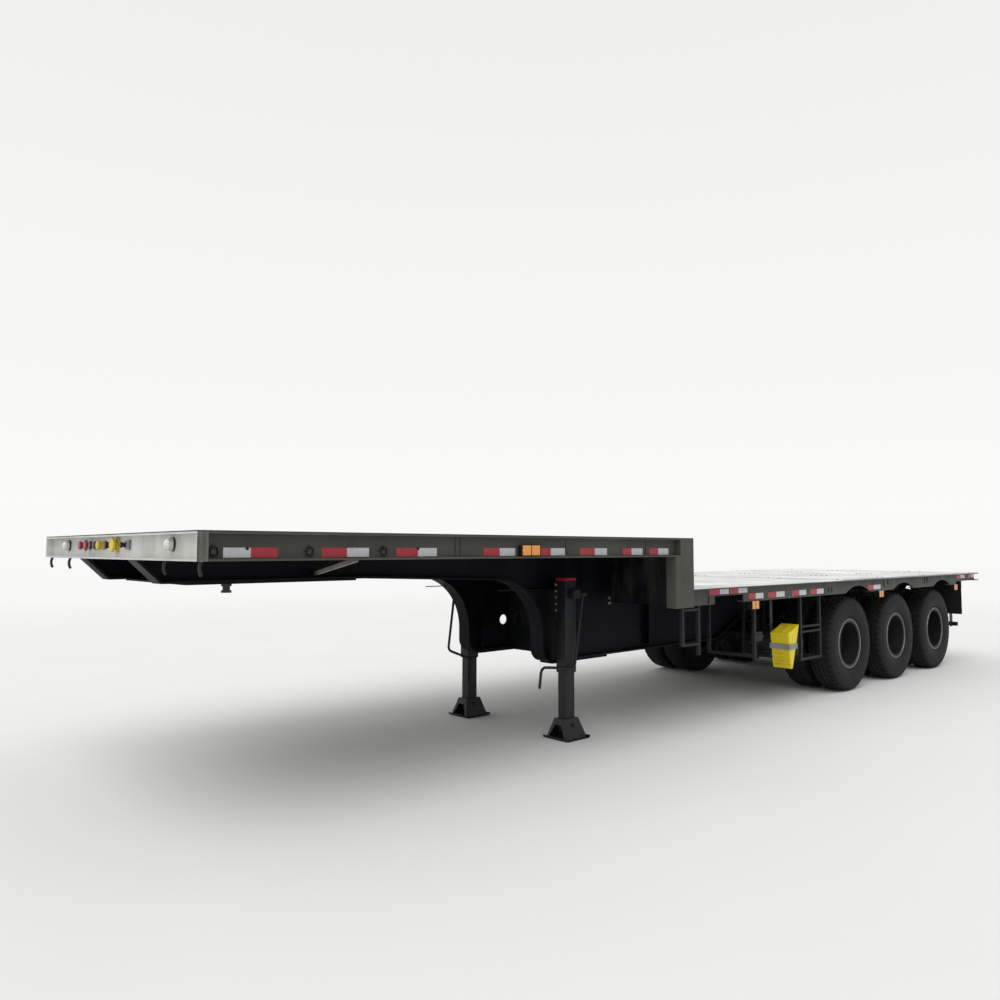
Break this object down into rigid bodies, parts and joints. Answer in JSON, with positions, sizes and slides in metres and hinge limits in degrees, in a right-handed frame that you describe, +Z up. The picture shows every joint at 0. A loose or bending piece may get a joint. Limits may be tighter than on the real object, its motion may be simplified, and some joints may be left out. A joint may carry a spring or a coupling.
{
  "type": "lowboy semi-trailer",
  "caption": "Step-deck lowboy semi-trailer with gooseneck frame, flat upper and lower decks, landing legs and three axles on twin tyres.",
  "frame": {"origin": "centre of the trailer's length and width, on the ground", "axes": "+X towards the kingpin end (forward), +Y to the trailer's left, +Z up"},
  "size_m": [11.55, 3, 1.73],
  "materials": {
    "frame_paint": "satin",
    "front_paint": "satin",
    "rail_paint": "satin",
    "deck_steel": "matte",
    "pin_steel": "satin",
    "leg_paint": "satin",
    "axle_paint": "satin",
    "spring_steel": "matte",
    "tank_paint": "satin",
    "rack_paint": "satin",
    "chock_plastic": "satin",
    "coupling_metal": "gloss",
    "amber_lens": "gloss",
    "clear_lens": "gloss",
    "red_lens": "gloss",
    "flap_rubber": "matte",
    "tyre_rubber": "matte",
    "rim_paint": "satin"
  },
  "bodies": {
    "chassis": {"air_tanks": "tank_paint", "axle_front": "axle_paint", "axle_middle": "axle_paint", "axle_rear": "axle_paint", "coupler_plate": "frame_paint", "front_lamps": "clear_lens", "front_rail": "front_paint", "kingpin": "pin_steel", "landing_foot_left": "leg_paint", "landing_foot_right": "leg_paint", "landing_leg_left": "leg_paint", "landing_leg_right": "leg_paint", "leaf_springs": "spring_steel", "leg_cranks": "leg_paint", "lower_crossmembers": "frame_paint", "lower_deck_plate": "deck_steel", "lower_side_rail_left": "rail_paint", "lower_side_rail_right": "rail_paint", "main_beam_left": "frame_paint", "main_beam_right": "frame_paint", "mudflaps": "flap_rubber", "rear_guard": "rack_paint", "rear_rail": "rail_paint", "service_couplings": "coupling_metal", "side_lamps": "amber_lens", "side_racks": "rack_paint", "spring_hangers": "axle_paint", "step_bulkhead": "rail_paint", "tail_lamps": "red_lens", "upper_crossmembers": "frame_paint", "upper_deck_plate": "deck_steel", "upper_side_rails": "rail_paint", "wheel_chocks": "chock_plastic"},
    "wheel_front_left": {"tyres_front_left": "tyre_rubber", "wheels_front_left": "rim_paint"},
    "wheel_front_right": {"tyres_front_right": "tyre_rubber", "wheels_front_right": "rim_paint"},
    "wheel_middle_left": {"tyres_middle_left": "tyre_rubber", "wheels_middle_left": "rim_paint"},
    "wheel_middle_right": {"tyres_middle_right": "tyre_rubber", "wheels_middle_right": "rim_paint"},
    "wheel_rear_left": {"tyres_rear_left": "tyre_rubber", "wheels_rear_left": "rim_paint"},
    "wheel_rear_right": {"tyres_rear_right": "tyre_rubber", "wheels_rear_right": "rim_paint"}
  },
  "joints": [
    {"name": "wheel_front_left_spin", "type": "hinge", "parent": "chassis", "child": "wheel_front_left", "pos_m": [-1.862, 1.03, 0.5425], "axis": [0, 1, 0], "continuous": true},
    {"name": "wheel_front_right_spin", "type": "hinge", "parent": "chassis", "child": "wheel_front_right", "pos_m": [-1.862, -1.03, 0.5425], "axis": [0, 1, 0], "continuous": true},
    {"name": "wheel_middle_left_spin", "type": "hinge", "parent": "chassis", "child": "wheel_middle_left", "pos_m": [-3.172, 1.03, 0.5425], "axis": [0, 1, 0], "continuous": true},
    {"name": "wheel_middle_right_spin", "type": "hinge", "parent": "chassis", "child": "wheel_middle_right", "pos_m": [-3.172, -1.03, 0.5425], "axis": [0, 1, 0], "continuous": true},
    {"name": "wheel_rear_left_spin", "type": "hinge", "parent": "chassis", "child": "wheel_rear_left", "pos_m": [-4.482, 1.03, 0.5425], "axis": [0, 1, 0], "continuous": true},
    {"name": "wheel_rear_right_spin", "type": "hinge", "parent": "chassis", "child": "wheel_rear_right", "pos_m": [-4.482, -1.03, 0.5425], "axis": [0, 1, 0], "continuous": true}
  ]
}
